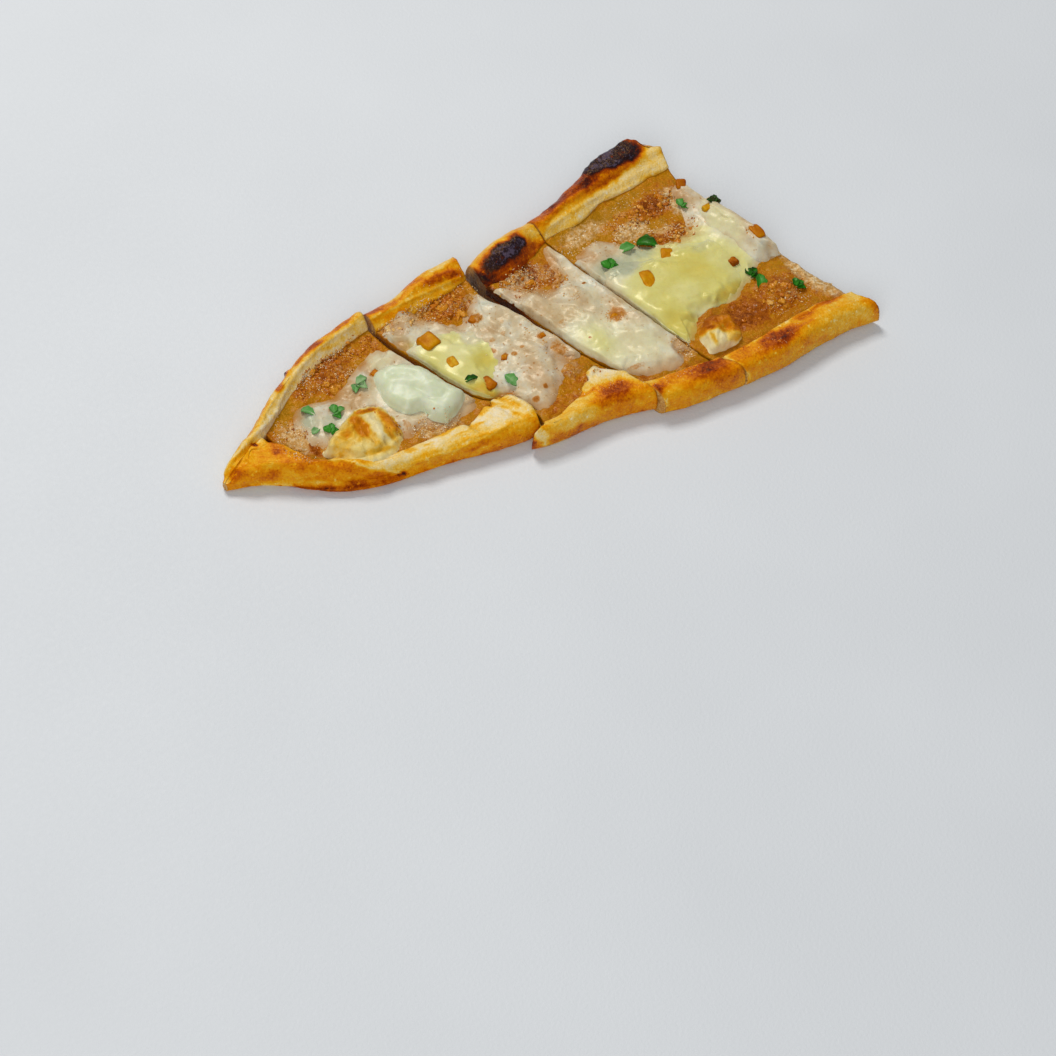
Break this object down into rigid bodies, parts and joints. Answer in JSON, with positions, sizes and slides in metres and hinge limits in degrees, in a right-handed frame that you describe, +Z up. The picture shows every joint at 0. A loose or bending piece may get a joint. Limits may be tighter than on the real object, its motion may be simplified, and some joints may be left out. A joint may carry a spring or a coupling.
{
  "type": "turkish pide",
  "caption": "Pointed half of a boat-shaped flatbread with folded crust rims, minced filling and melted cheese, cut across into slices that lie together.",
  "frame": {"origin": "middle of the box of the underside, where the bread rests", "axes": "+X along the bread from its pointed tip to its cut end, +Y towards its far long side, +Z up"},
  "size_m": [0.2128, 0.1024, 0.0133],
  "materials": {
    "crust": "matte baked dough, golden with brown and charred spots",
    "filling": "wet and granular, amber brown",
    "cheese": "melted white cheese with a soft shine",
    "yellow_cheese": "glossy melted yellow cheese",
    "white_cheese": "soft white cheese, greenish white",
    "baked_cheese": "cream cheese baked golden"
  },
  "bodies": {
    "root": {"slice_1_crust": "crust", "slice_1_filling": "filling", "slice_1_cheese": "cheese", "slice_2_crust": "crust", "slice_2_filling": "filling", "slice_2_cheese": "cheese", "slice_3_crust": "crust", "slice_3_filling": "filling", "slice_3_cheese": "cheese", "slice_4_crust": "crust", "slice_4_filling": "filling", "slice_4_cheese": "cheese", "slice_1_white_cheese": "white_cheese", "slice_1_baked_cheese": "baked_cheese", "slice_2_yellow_cheese": "yellow_cheese", "slice_4_yellow_cheese": "yellow_cheese", "slice_4_white_cheese": "cheese", "slice_4_baked_cheese": "baked_cheese"}
  },
  "joints": []
}
